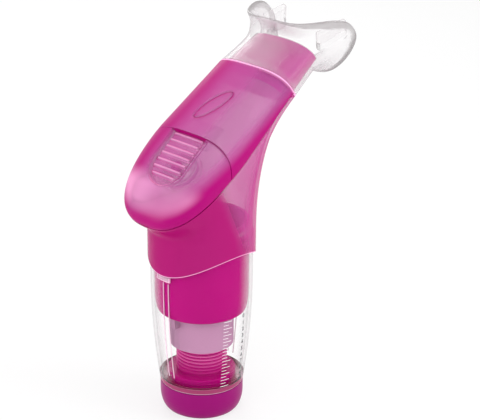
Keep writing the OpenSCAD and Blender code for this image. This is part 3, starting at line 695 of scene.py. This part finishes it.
def printed_scale(number_h, step):
    """Ticks and plain numbers printed on the sleeve's outside, wrapped to its wall."""
    bm = bmesh.new()
    start, spans = math.radians(TICK_TURN), 10

    def wrap(x, z):
        r = sleeve_at(z) + INK_LIFT
        return bm.verts.new(polar(r, start + x / r, z) * MM)
    for k in range(TICKS):
        z, run = TICK_TOP - k * step, TICK_LEN * (1 if k % 2 == 0 else 0.6)
        low, high = ([wrap(run * i / spans, z + dz) for i in range(spans + 1)]
                     for dz in (-TICK_HALF, TICK_HALF))
        for i in range(spans):
            bm.faces.new((low[i], low[i + 1], high[i + 1], high[i]))
    for k in range(0, TICKS, 2):
        curve = bpy.data.curves.new("number", "FONT")
        curve.body, curve.size, curve.resolution_u, curve.offset = str(k // 2), number_h, 3, STROKE
        curve.align_x, curve.align_y = "LEFT", "CENTER"
        word = add("number", curve)
        shown = baked(word)
        bpy.data.objects.remove(word)
        verts = [wrap(NUMBER_AT + v.co.x, TICK_TOP - k * step + v.co.y) for v in shown.vertices]
        for face in shown.polygons:
            bm.faces.new([verts[i] for i in face.vertices])
        bpy.data.meshes.remove(shown)
    bmesh.ops.recalc_face_normals(bm, faces=bm.faces)
    return mesh_from("printed_scale", bm)


# Settings a user would change


def length(name, about, default, low, high):
    return bpy.props.FloatProperty(name=name, description=about, default=default, min=low, max=high)


def number(name, about, default, low, high):
    return bpy.props.IntProperty(name=name, description=about, default=default, min=low, max=high)


def tone(name, about, default):
    return bpy.props.StringProperty(name=name, description="Colour of " + about, default=default)


class TrainerSizes(bpy.types.PropertyGroup):
    """Sizes of the surface detail, in millimetres."""
    thread_pitch: length("Thread pitch", "Distance between the load thread's turns", 1.75, 1.5, 1.8)
    thread_depth: length("Thread depth", "Depth of the load thread below its crest", 0.85, 0.4, 1.2)
    nut_bead: length("Nut bead", "Radius of the beads turned on the tension nut", 0.16, 0.05, 0.3)
    wire_d: length("Spring wire", "Thickness of the load spring's wire", 1.1, 0.8, 1.3)
    coils: number("Coils", "Number of coils of the load spring", 7, 5, 8)
    rib_h: length("Grip rib height", "Height of the ribs in the thumb scoop", 0.75, 0.2, 1.2)
    rib_pitch: length("Grip rib pitch", "Distance between the grip ribs", 3.5, 3, 4)
    grip_ribs: number("Grip ribs", "Number of grip ribs", 7, 5, 8)
    groove_depth: length("Groove depth", "Depth of the oval groove on the upper cover", 0.4, 0, 0.5)
    bite_len: length("Bite tab reach", "Reach of a bite tab", 9.0, 7, 11)
    number_h: length("Number height", "Height of the printed numbers", 2.8, 1.2, 3)


class TrainerColours(bpy.types.PropertyGroup):
    """Base colours of the plastics, as sRGB hex codes."""
    cover: tone("Covers", "the front covers", "#DC72C0")
    cover_edge: tone("Cover edges", "a cover seen edge on", "#B00074")
    shell: tone("Body", "the body shell", "#DC70BC")
    shell_edge: tone("Body edges", "the body seen edge on", "#C8007C")
    deep: tone("Cup and screw", "the cup, screw and poppet", "#B8047A")
    deep_edge: tone("Cup and screw edges", "the cup and screw seen edge on", "#AE0470")
    knob: tone("Knob", "the base knob", "#980E70")
    knob_edge: tone("Knob edges", "the knob seen edge on", "#961070")
    nut: tone("Nut", "the frosted nut", "#C692B4")
    clear: tone("Clear sleeve", "the clear sleeve", "#FDFEFD")
    frost: tone("Inner wall", "the textured inner wall", "#F6C2E6")
    frost_edge: tone("Inner wall edges", "the inner wall seen edge on", "#D860A8")
    spigot: tone("Spigot", "the oval spigot", "#CC20A0")
    # Colour of the painted glow on cut edges
    rim: tone("Lit edges", "cut edges where light leaves the wall", "#FFB4E2")
    ink: tone("Scale ink", "the printed scale", "#FFFFFF")


SHEEN = {}


def finishes():
    """The plastics, made once and shared by the operators."""
    if SHEEN:
        return SHEEN
    c = bpy.context.scene.trainer_colours
    # After the two colours: edge power, grain and its depth in mm, roughness and its spread
    SHEEN.update(
        # Injection-moulded tinted polycarbonate: light passes, the tint deepens where a wall
        # is seen edge on, and near the seam partly as painted shade; cut edges, rib crests and the
        # closed end carry a painted pale glow, and the oval groove a painted shade line
        cover=plastic("tinted_polycarbonate_cover", c.cover, c.cover_edge, 0.5, 0.5, 0.003, 0.28, 0.06,
                      (0.28, 0.98), step=(0.25, 0.52), seam=8, lit=c.rim, shade="#8E1464", gloss=0.12),
        # The cover's tongue, thinner and so clearer
        tongue=plastic("tinted_polycarbonate_tongue", c.cover, c.cover_edge, 0.5, 0.5, 0.003, 0.2, 0.06,
                       (0.05, 0.7), 0.3, gloss=0.2),
        # The same resin in a paler shot, for the body behind the covers, with painted shade under the
        # chin and a painted glow on its neck rim and skirt edge
        shell=plastic("tinted_polycarbonate_body", c.shell, c.shell_edge, 0.42, 0.5, 0.003, 0.2, 0.06,
                      (0.28, 0.85), 0.1, lit=c.rim, shade="#B0006C", gloss=0.05),
        # Its inner wall, textured in the mould: milky, so what lies behind stays soft
        frost=plastic("textured_polycarbonate", c.frost, c.frost_edge, 0.5, 0.4, 0.01, 0.4, 0.1,
                      (0.3, 0.7), gloss=0.1),
        # A thicker wall of it, so it stops more light
        spigot=plastic("tinted_polycarbonate_spigot", c.spigot, c.shell_edge, 0.5, 0.5, 0.004, 0.25, 0.06,
                       (0.78, 0.95), gloss=0.1),
        # The same resin in a deep shot, for the cup and screw: glossy, with a painted highlight on the
        # thread crests
        deep=plastic("deep_polycarbonate", c.deep, c.deep_edge, 0.25, 0.6, 0.004, 0.22, 0.06,
                     lit="#F27CC0", gloss=0.05),
        # Moulded ABS with a satin tool finish: soft broad highlight
        knob=plastic("satin_abs_knob", c.knob, c.knob_edge, 0.25, 0.35, 0.01, 0.3, 0.08,
                     ior=1.54, gloss=0.08),
        # Etched polypropylene: milky, with no sharp highlight
        nut=plastic("etched_polypropylene", c.nut, "#A87A98", 0.3, 0.3, 0.02, 0.5, 0.1,
                    ior=1.49, gloss=0.15),
        # Clear polycarbonate tube, polished: its edges and ribs darken, its foot takes a tint, and its
        # lip, rib roots and lug carry painted highlights
        sleeve=plastic("clear_polycarbonate", c.clear, "#8E9592", 0.2, 0.8, 0.001, 0.04, 0.02,
                       (0.003, 0.9), 0.2, lit="#FFC0E4", shade="#A0005C", ior=1.3, gloss=0.4),
        # Clear moulded insert, slightly hazy
        insert=plastic("clear_acetal", "#EDEDED", "#B5B5B5", 0.3, 0.6, 0.003, 0.2, 0.06,
                       (0.35, 0.9), ior=1.49),
        # Cast silicone: clear with a faint warm haze, with painted shade where the rim is thick
        silicone=plastic("clear_silicone", "#F8F1F4", "#A8A1A5", 0.45, 0.4, 0.004, 0.1, 0.08,
                         (0.07, 0.78), 0.2, shade="#57504F", ior=1.41, gloss=0.7),
        # Natural silicone seals and flap: dull and pale
        seal=plastic("natural_silicone_seal", "#EADDE4", None, 0.3, 0.3, 0.01, 0.4, 0.1,
                     (0.3, 0.7), ior=1.41),
        steel=wire_steel(),
        # Screen-print ink: matt, with white ticks and grey numbers
        ink=plastic("screen_print_ink", c.ink, None, 0.3, 0.2, 0.004, 0.5, 0.1,
                    shade="#4C4F52", ior=1.5))
    return SHEEN


def wire_steel():
    """Cold-drawn spring steel: fine die lines along Z on a bright metal."""
    material, tree, shader = blank("drawn_spring_steel")
    shader.inputs["Base Color"].default_value = linear("#C6C7CA")
    shader.inputs["Metallic"].default_value = 1.0
    where = put(tree, "ShaderNodeTexCoord").outputs["Object"]
    stretched = put(tree, "ShaderNodeMapping", {"Vector": where, "Scale": (1, 1, 12)})
    lines = noise(tree, stretched.outputs["Vector"], 1000 / 0.9, 2.0)
    tree.links.new(ranged(tree, lines, 0.0, 1.0, 0.18, 0.38), shader.inputs["Roughness"])
    return material


def dress(names, material):
    """Gives carried-over CAD nodes their plastic and smooth turned faces."""
    for name in names:
        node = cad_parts[name]
        node.data.materials.clear()
        node.data.materials.append(material)
        node.data.shade_smooth()
        node.data.set_sharp_from_angle(angle=math.radians(30))


# One operator for each piece or group


class TRAINER_OT_body(bpy.types.Operator):
    """Body shell with its wavy skirt, and the front wall of the airway"""
    bl_idname = "trainer.body"
    bl_label = "Body shell"

    def execute(self, context):
        finish = finishes()
        body = loop_of("moulded_body", body_rows(192, 40), finish["shell"], 32)

        # Painted glow along the neck rim and the wavy skirt edge
        def edge_glow(p):
            s, y, v = handle_place(p)
            wave = WAVE_Z - WAVE * math.cos(2 * math.atan2(p.y, p.x))
            return 1.0 if s > UP_LEN - 0.9 and v < 0.5 or p.z < wave + 0.42 else 0.0
        painted(body, "lit", edge_glow)

        def throat_shade(p):
            # Painted shade: deep under the chin and pale round the back, where the light falls
            chin_z, back_z, below, fade = 140, 84, 16, 22
            bearing = math.degrees(abs(math.atan2(p.y, -p.x)))
            top = mix(chin_z, back_z, smooth((bearing - 40) / 80))
            return 0.9 * (1 - smooth((p.z - top + below) / fade)) * (1 - edge_glow(p))
        painted(body, "shade", throat_shade)
        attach(body, "housing")
        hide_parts("body_shell")
        dress(["airway_front"], finish["frost"])
        return {"FINISHED"}


class TRAINER_OT_covers(bpy.types.Operator):
    """Upper cover with its oval groove, thumb cover with its ribbed scoop"""
    bl_idname = "trainer.covers"
    bl_label = "Front covers"

    def execute(self, context):
        finish, size = finishes(), context.scene.trainer_sizes
        groove, plain, line = oval_groove(size.groove_depth), oval_groove(0), oval_groove(1, 1.1)
        rows = [(mix(COVER_JOINT + GAP, UP_LEN, k / 120), 1 - k / 120) for k in range(121)]
        upper = cover_wall("upper_cover", cover_sheet(rows, 0, GAP, groove),
                           cover_sheet(rows, WALL, GAP, plain), finish["cover"])
        softened(upper, 0.35, 40)

        # Painted glow along the cover's neck end
        def neck_glow(p):
            return smooth((handle_place(p)[0] - UP_LEN + 1.0) / 0.3)
        painted(upper, "lit", neck_glow)

        # Painted shade along the oval groove
        def groove_shade(p):
            s, y, v = handle_place(p)
            return -line(s, y) if v > COVER_F - 2.5 else 0.0
        painted(upper, "shade", groove_shade)
        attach(upper, "housing")
        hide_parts("handle_cover")
        scoop, hollow, crest = (scoop_relief(height, size.rib_pitch, size.grip_ribs)
                                for height in (size.rib_h, 0, 1))
        # Rows of equal turn round the closed end, then of equal length up to the joint
        low_end = math.asin((CAP_S - SCOOP_S + SCOOP_W + 1) / CAP_LEN)
        outer, inner = [], []
        for k in range(40):
            a = mix(math.radians(86.3), low_end, k / 40)
            outer.append((CAP_S - CAP_LEN * math.sin(a), 0))
            inner.append((CAP_S - (CAP_LEN - WALL) * math.sin(a), 0))
        start = SCOOP_S - SCOOP_W - 1
        inner_start = CAP_S - (CAP_LEN - WALL) * math.sin(low_end)
        for k in range(121):
            s = mix(start, COVER_JOINT, k / 120)
            bend = max(1 - (COVER_JOINT - s) / SCOOP_FADE, 0)
            outer.append((s, bend))
            inner.append((mix(inner_start, COVER_JOINT, k / 120), bend))
        thumb = cover_wall("thumb_end_cover", cover_sheet(outer, 0, VENT_GAP, scoop),
                           cover_sheet(inner, WALL, VENT_GAP, hollow), finish["cover"])
        softened(thumb, 0.35, 50)

        def crest_and_pool_glow(p):
            s, y, v = handle_place(p)
            # Painted glow: light gathers in the closed end of the cover, more on its +Y side, and the rib
            # crests are painted lighter
            pool = 0.42 + 0.26 * smooth((y + 8) / 16)
            pool *= smooth((-20 - s) / 9) * smooth((v - 4.5) / 4)
            return max(0.75 * max(crest(s, y) - hollow(s, y), 0) ** 3, pool)
        painted(thumb, "lit", crest_and_pool_glow)
        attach(thumb, "thumb_end")
        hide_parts("thumb_cover")
        dress(["cover_tongue"], finish["tongue"])
        return {"FINISHED"}


class TRAINER_OT_mouth_end(bpy.types.Operator):
    """Oval spigot and the soft clear mouthpiece with its lip shield and bite tabs"""
    bl_idname = "trainer.mouth_end"
    bl_label = "Mouth end"

    def execute(self, context):
        finish, size = finishes(), context.scene.trainer_sizes
        spigot = loop_of("oval_spigot", spigot_rows(128), finish["spigot"], 32)
        softened(spigot, 0.3, 40)
        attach(spigot, "housing")
        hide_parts("mouth_spigot")
        rows = mouthpiece_rows(64)
        soft = loop_of("lip_shield", rows, finish["silicone"], 180)
        crease = soft.data.attributes.new("crease_edge", "FLOAT", "EDGE")
        cols = len(rows[0])
        # The rows at the socket's mouth and at the spigot's tip keep their edges
        hard = {0: 0.9, 10: 1.0, 11: 1.0, 12: 0.9}
        for edge in soft.data.edges:
            a, b = (v // cols for v in edge.vertices)
            if a == b and a in hard:
                crease.data[edge.index].value = hard[a]
        modified(soft, "SUBSURF", levels=2, render_levels=2)
        joined(soft, [bite_tab(side, size.bite_len, finish["silicone"]) for side in (-1, 1)])
        skin = soft.data
        bpy.data.objects.remove(soft)
        soft = finish_mesh("soft_mouthpiece", skin, finish["silicone"], 50)

        # Painted shade along the shield's thick outer rim
        def thick_rim_shade(p):
            s, y, v = handle_place(p)
            share = math.hypot(y / LIP[0], v / (LIP[1] if v > 0 else LIP[2]))
            return 0.65 * smooth((share - 0.966) / 0.022) if s > SHIELD_S - 4 else 0.0
        painted(soft, "shade", thick_rim_shade)
        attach(soft, "mouth_end")
        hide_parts("mouthpiece")
        return {"FINISHED"}


class TRAINER_OT_load_unit(bpy.types.Operator):
    """Drive screw with its thread, beaded tension nut and load spring"""
    bl_idname = "trainer.load_unit"
    bl_label = "Load unit"

    def execute(self, context):
        finish, size = finishes(), context.scene.trainer_sizes
        root = SCREW_R - size.thread_depth
        foot_z = SOCKET_Z + 0.1
        core = lathe("screw_core", [(SCREW_BORE_R, foot_z), (NECK_R, foot_z), (NECK_R, COLLAR_Z),
                                    (COLLAR_R, COLLAR_Z), (COLLAR_R, COLLAR_TOP),
                                    (root, COLLAR_TOP), (root, SCREW_TOP),
                                    (SCREW_BORE_R, SCREW_TOP)], finish["deep"])
        softened(core, 0.25)
        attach(core, "knob_and_screw")
        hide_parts("drive_screw")
        pitch = size.thread_pitch
        ridge = grow("screw_thread", thread, finish["deep"], "knob_and_screw",
                     Radius=root + size.thread_depth / 2 - 0.02, Pitch=pitch,
                     Length=SCREW_TOP - COLLAR_TOP - pitch - 0.3,
                     Start=COLLAR_TOP + pitch / 2 + 0.1, Foot=pitch * 0.8,
                     Crest=pitch * 0.22, Depth=size.thread_depth)

        # Painted highlight on the thread crests, fading towards the collar
        def crest_glow(p):
            up = mix(0.1, 0.6, smooth((p.z - COLLAR_TOP - 2) / 7))
            return up * smooth((reach(p) - SCREW_R + 0.3) / 0.25)
        painted(ridge, "lit", crest_glow)
        rims = grow("collar_beads", hoops, finish["deep"], "knob_and_screw",
                    Radius=COLLAR_R, Bead=COLLAR_BEAD, Step=COLLAR_BEAD_STEP,
                    Start=COLLAR_Z + 0.55, Count=COLLAR_BEADS)
        dress(["tension_nut"], finish["nut"])
        beads = grow("nut_beads", hoops, finish["nut"], "load_nut",
                     Radius=NUT_R - 0.06, Bead=size.nut_bead, Step=NUT_BEAD_STEP,
                     Start=NUT_TOP - NUT_H + 0.7, Count=NUT_BEADS)
        wire = size.wire_d
        spring = grow("wound_load_spring", coil, finish["steel"], "inlet_valve",
                      Radius=SPRING_R, Wire=wire / 2, Length=SPRING_LEN - wire,
                      Start=SPRING_Z + wire / 2, Coils=size.coils)
        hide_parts("load_spring")
        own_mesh(spring)
        return {"FINISHED"}


class TRAINER_OT_sleeve(bpy.types.Operator):
    """Clear sleeve with its guide ribs, lug and printed scale"""
    bl_idname = "trainer.sleeve"
    bl_label = "Clear sleeve"

    def execute(self, context):
        finish, size = finishes(), context.scene.trainer_sizes
        sleeve = lathe("clear_sleeve", sleeve_profile(), finish["sleeve"], 160)
        softened(sleeve, 0.25)

        # Painted highlight along the lip's outer edge
        def lip_glow(p):
            return 0.9 if p.z < LIP_Z + 0.3 and reach(p) > KNOB_R - 0.5 else 0.0
        painted(sleeve, "lit", lip_glow)

        def foot_glow(p):
            # The foot lies on the knob and takes its colour, and so does the corner above it
            inner = reach(p) < sleeve_at(max(p.z, SLEEVE_FLOOR)) - SLEEVE_WALL / 2
            if p.z >= SLEEVE_FLOOR + 1.2:
                return 0.0
            return 1.0 if inner else 0.95 if p.z > LIP_Z + 0.3 else 0.0
        painted(sleeve, "shade", foot_glow)
        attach(sleeve, "housing")
        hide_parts("calibrator_sleeve")
        bm = bmesh.new()

        def inside(z):
            return sleeve_at(z) - SLEEVE_WALL - 0.02
        for turn in (0, math.pi):
            for side in (-1, 1):
                for foot_r, low, high in ((RIB_IN, COLLAR_TOP + RIB_FOOT, NUT_TOP),
                                          (CUP_R + 0.2, NUT_TOP, NUT_TOP + RIB_RISE)):
                    plate(bm, foot_r, inside, low, high, side * RIB_Y, RIB_T, turn)
        ribs = finish_mesh("guide_ribs", mesh_from("guide_ribs", bm), finish["sleeve"], 30)

        # Painted highlight along the guide ribs' roots
        def root_glow(p):
            return 0.75 if reach(p) > inside(p.z) - RIB_ROOT + 0.32 else 0.0
        painted(ribs, "lit", root_glow)
        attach(ribs, "housing")
        top, spans = WAVE_Z - WAVE - GAP, 24
        turns = [math.radians(mix(180 - LUG_TURN, 180 + LUG_TURN, k / spans)) for k in range(spans + 1)]
        section = ((-0.4, LUG_H), (LUG_OUT - 0.05, 2.4), (LUG_OUT, 1.3), (LUG_OUT - 0.05, 0.2), (-0.4, 0))
        rows = [[polar(SLEEVE_R + out, a, top - drop) for a in turns] for out, drop in section]
        cols = len(turns)
        faces = ring_faces(len(rows), cols, True, False)
        faces += [tuple(i * cols + end for i in range(len(rows))) for end in (0, spans)]
        lug = mesh_of("sleeve_lug", flat(rows), faces, finish["sleeve"], 40)

        # Painted highlight on the lug's lower edge and ends, fainter over the rest
        def lug_glow(p):
            at_end = abs(p.y) > SLEEVE_R * math.sin(math.radians(LUG_TURN - 1))
            return 0.85 if p.z < top - 2 or at_end else 0.25
        painted(lug, "lit", lug_glow)
        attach(lug, "housing")
        scale = finish_mesh("printed_scale", printed_scale(size.number_h, size.thread_pitch),
                            finish["ink"], 180)
        digits_from = math.radians(TICK_TURN + DIGIT_TURN)
        painted(scale, "shade", lambda p: 1.0 if math.atan2(p.y, p.x) > digits_from else 0.0)
        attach(scale, "housing")
        return {"FINISHED"}


class TRAINER_OT_knob(bpy.types.Operator):
    """Base knob with its air holes, and the glide washer"""
    bl_idname = "trainer.knob"
    bl_label = "Base knob"

    def execute(self, context):
        finish = finishes()
        dress(["base_knob"], finish["knob"])
        # The clear washer takes the colour of the collar that it lies under
        dress(["glide_washer"], finish["deep"])
        return {"FINISHED"}


class TRAINER_OT_valves(bpy.types.Operator):
    """Valve chamber, inlet valve, outlet valve and their seals"""
    bl_idname = "trainer.valves"
    bl_label = "Valves"

    def execute(self, context):
        finish = finishes()
        dress(["valve_chamber", "poppet", "flap_button"], finish["deep"])
        dress(["valve_seat", "outlet_seat"], finish["insert"])
        dress(["chamber_seal", "poppet_seal", "outlet_flap"], finish["seal"])
        dress(["valve_stem", "spring_plate", "stem_clip"], finish["steel"])
        return {"FINISHED"}


class TRAINER_OT_stage(bpy.types.Operator):
    """Pale floor, white surround, soft lamps and the camera"""
    bl_idname = "trainer.stage"
    bl_label = "Stage"

    def execute(self, context):
        scene = context.scene
        scene.view_settings.view_transform = "Standard"
        mesh = bpy.data.meshes.new("floor")
        mesh.from_pydata([(-3, -3, 0), (3, -3, 0), (3, 3, 0), (-3, 3, 0)], [], [(0, 1, 2, 3)])
        floor = add("floor", mesh)
        paper, tree, shader = blank("matt_white_paper")
        out = tree.nodes["Material Output"]
        shader.inputs["Base Color"].default_value = linear("#F4F4F4")
        shader.inputs["Roughness"].default_value = 0.9
        glow = put(tree, "ShaderNodeEmission", {"Color": (1, 1, 1, 1), "Strength": 1.0})
        both = put(tree, "ShaderNodeMixShader", {0: reckon(tree, "MULTIPLY", self.seen(tree), 0.75),
                   1: shader.outputs[0], 2: glow.outputs[0]})
        tree.links.new(both.outputs[0], out.inputs["Surface"])
        mesh.materials.append(paper)
        self.surround(scene)
        # Square lamps: place and side in metres, then power in watts, all turned to the handle
        for name, at, size, power in (
                ("key", (0.45, -0.8, 0.5), 0.45, 3.8), ("fill", (-0.75, -0.35, 0.62), 0.6, 2.3),
                ("top", (0.05, -0.1, 1.0), 0.7, 2.8), ("rear", (0.45, 0.75, 0.6), 0.5, 2.6),
                ("side", (-0.85, 0.5, 0.12), 0.5, 3.2)):
            lamp = bpy.data.lights.new(name, "AREA")
            lamp.shape, lamp.size, lamp.energy = "SQUARE", size, power
            aimed(add(name, lamp), at, Vector((0, 0, 0.1)) - Vector(at))
        self.camera(scene)
        return {"FINISHED"}

    def seen(self, tree):
        """1 for rays that look at the surround from the camera, a gloss or a clear wall."""
        path = put(tree, "ShaderNodeLightPath").outputs
        first = reckon(tree, "MAXIMUM", path["Is Camera Ray"], path["Is Glossy Ray"])
        return reckon(tree, "MAXIMUM", first, path["Is Transmission Ray"])

    def surround(self, scene):
        world = bpy.data.worlds.new("white_surround")
        scene.world = world
        world.use_nodes = True
        tree = world.node_tree
        inputs = tree.nodes["Background"].inputs
        tree.links.new(ranged(tree, self.seen(tree), 0.0, 1.0, 0.55, 1.0), inputs["Strength"])
        inputs["Color"].default_value = (1, 1, 1, 1)

    def camera(self, scene):
        data = bpy.data.cameras.new("camera")
        data.lens = LENS / PICTURE_W * FILM
        data.shift_x, data.shift_y = SHIFT_X / PICTURE_W, SHIFT_Y / PICTURE_W
        data.clip_start, data.clip_end = 0.05, 20
        a, e = math.radians(VIEW_TURN), math.radians(VIEW_RISE)
        back = Vector((math.sin(a) * math.cos(e), -math.cos(a) * math.cos(e), math.sin(e)))
        at = Vector((0, 0, VIEW_HEIGHT)) + back * VIEW_AWAY
        scene.camera = aimed(add("camera", data), at, -back)


class TRAINER_PT_panel(bpy.types.Panel):
    """Lists the pieces in the order they are built"""
    bl_idname = "TRAINER_PT_panel"
    bl_label = "Breathing trainer"
    bl_space_type = "VIEW_3D"
    bl_region_type = "UI"
    bl_category = "Trainer"

    def draw(self, context):
        for group in (context.scene.trainer_sizes, context.scene.trainer_colours):
            box = self.layout.box()
            for name in group.__annotations__:
                box.prop(group, name)
        for name in STEPS:
            self.layout.operator("trainer." + name)


STEPS = ("stage", "body", "covers", "mouth_end", "load_unit", "sleeve", "knob", "valves")
CLASSES = (TrainerSizes, TrainerColours, TRAINER_OT_stage, TRAINER_OT_body, TRAINER_OT_covers,
           TRAINER_OT_mouth_end, TRAINER_OT_load_unit, TRAINER_OT_sleeve, TRAINER_OT_knob,
           TRAINER_OT_valves, TRAINER_PT_panel)


def register():
    for cls in CLASSES:
        bpy.utils.register_class(cls)
    bpy.types.Scene.trainer_sizes = bpy.props.PointerProperty(type=TrainerSizes)
    bpy.types.Scene.trainer_colours = bpy.props.PointerProperty(type=TrainerColours)


def unregister():
    del bpy.types.Scene.trainer_colours
    del bpy.types.Scene.trainer_sizes
    for cls in reversed(CLASSES):
        bpy.utils.unregister_class(cls)


def main():
    register()
    for name in STEPS:
        getattr(bpy.ops.trainer, name)()


if __name__ == "__main__":
    main()
